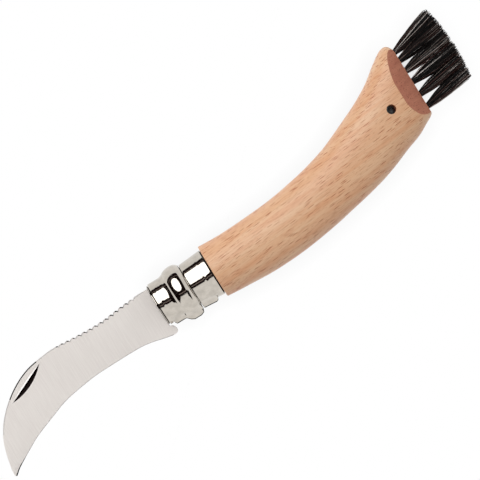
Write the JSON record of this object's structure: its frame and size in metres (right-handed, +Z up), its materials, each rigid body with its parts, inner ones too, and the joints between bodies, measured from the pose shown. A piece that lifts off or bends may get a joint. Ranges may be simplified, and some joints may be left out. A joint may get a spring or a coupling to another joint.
{
  "type": "folding mushroom knife",
  "caption": "Folding mushroom knife with a hooked, serrated-back steel blade, a turning lock ring, a curved beech handle and a bristle brush in its end.",
  "frame": {"origin": "under the middle of the knife's outline, on the surface that it lies on with its side down and its blade open", "axes": "+X along the collar's axis from the blade to the brush, +Y towards the back of the blade, +Z up out of the blade's flat side"},
  "size_m": [0.2128, 0.0652, 0.0208],
  "materials": {
    "oiled_beech": "smooth oiled beech with short ray flecks",
    "polished_stainless": "mirror polished stainless steel",
    "satin_stainless": "fine satin ground stainless steel",
    "plain_steel": "plain bright steel",
    "dark_bristle": "stiff dark natural bristle"
  },
  "bodies": {
    "handle": {"handle": "oiled_beech", "fixed_ferrule": "polished_stainless", "pivot_rivet": "plain_steel", "bristle_row_near": "dark_bristle", "bristle_row_middle": "dark_bristle", "bristle_row_far": "dark_bristle", "tuft_staple_01": "plain_steel", "tuft_staple_02": "plain_steel", "tuft_staple_03": "plain_steel", "tuft_staple_04": "plain_steel", "tuft_staple_05": "plain_steel", "tuft_staple_06": "plain_steel", "tuft_staple_07": "plain_steel", "tuft_staple_08": "plain_steel", "tuft_staple_09": "plain_steel", "tuft_staple_10": "plain_steel", "tuft_staple_11": "plain_steel", "tuft_staple_12": "plain_steel", "tuft_staple_13": "plain_steel", "tuft_staple_14": "plain_steel", "tuft_staple_15": "plain_steel", "tuft_staple_16": "plain_steel", "tuft_staple_17": "plain_steel", "tuft_staple_18": "plain_steel"},
    "blade": {"blade": "satin_stainless"},
    "lock_ring": {"lock_ring": "polished_stainless"}
  },
  "joints": [
    {"name": "blade_fold", "type": "hinge", "parent": "handle", "child": "blade", "pos_m": [-0.02114, -0.00946, 0.0104], "axis": [0, 0, 1], "range_deg": [0, 175]},
    {"name": "ring_turn", "type": "hinge", "parent": "handle", "child": "lock_ring", "pos_m": [-0.02414, -0.00696, 0.0104], "axis": [-1, 0, 0], "range_deg": [0, 40]}
  ]
}
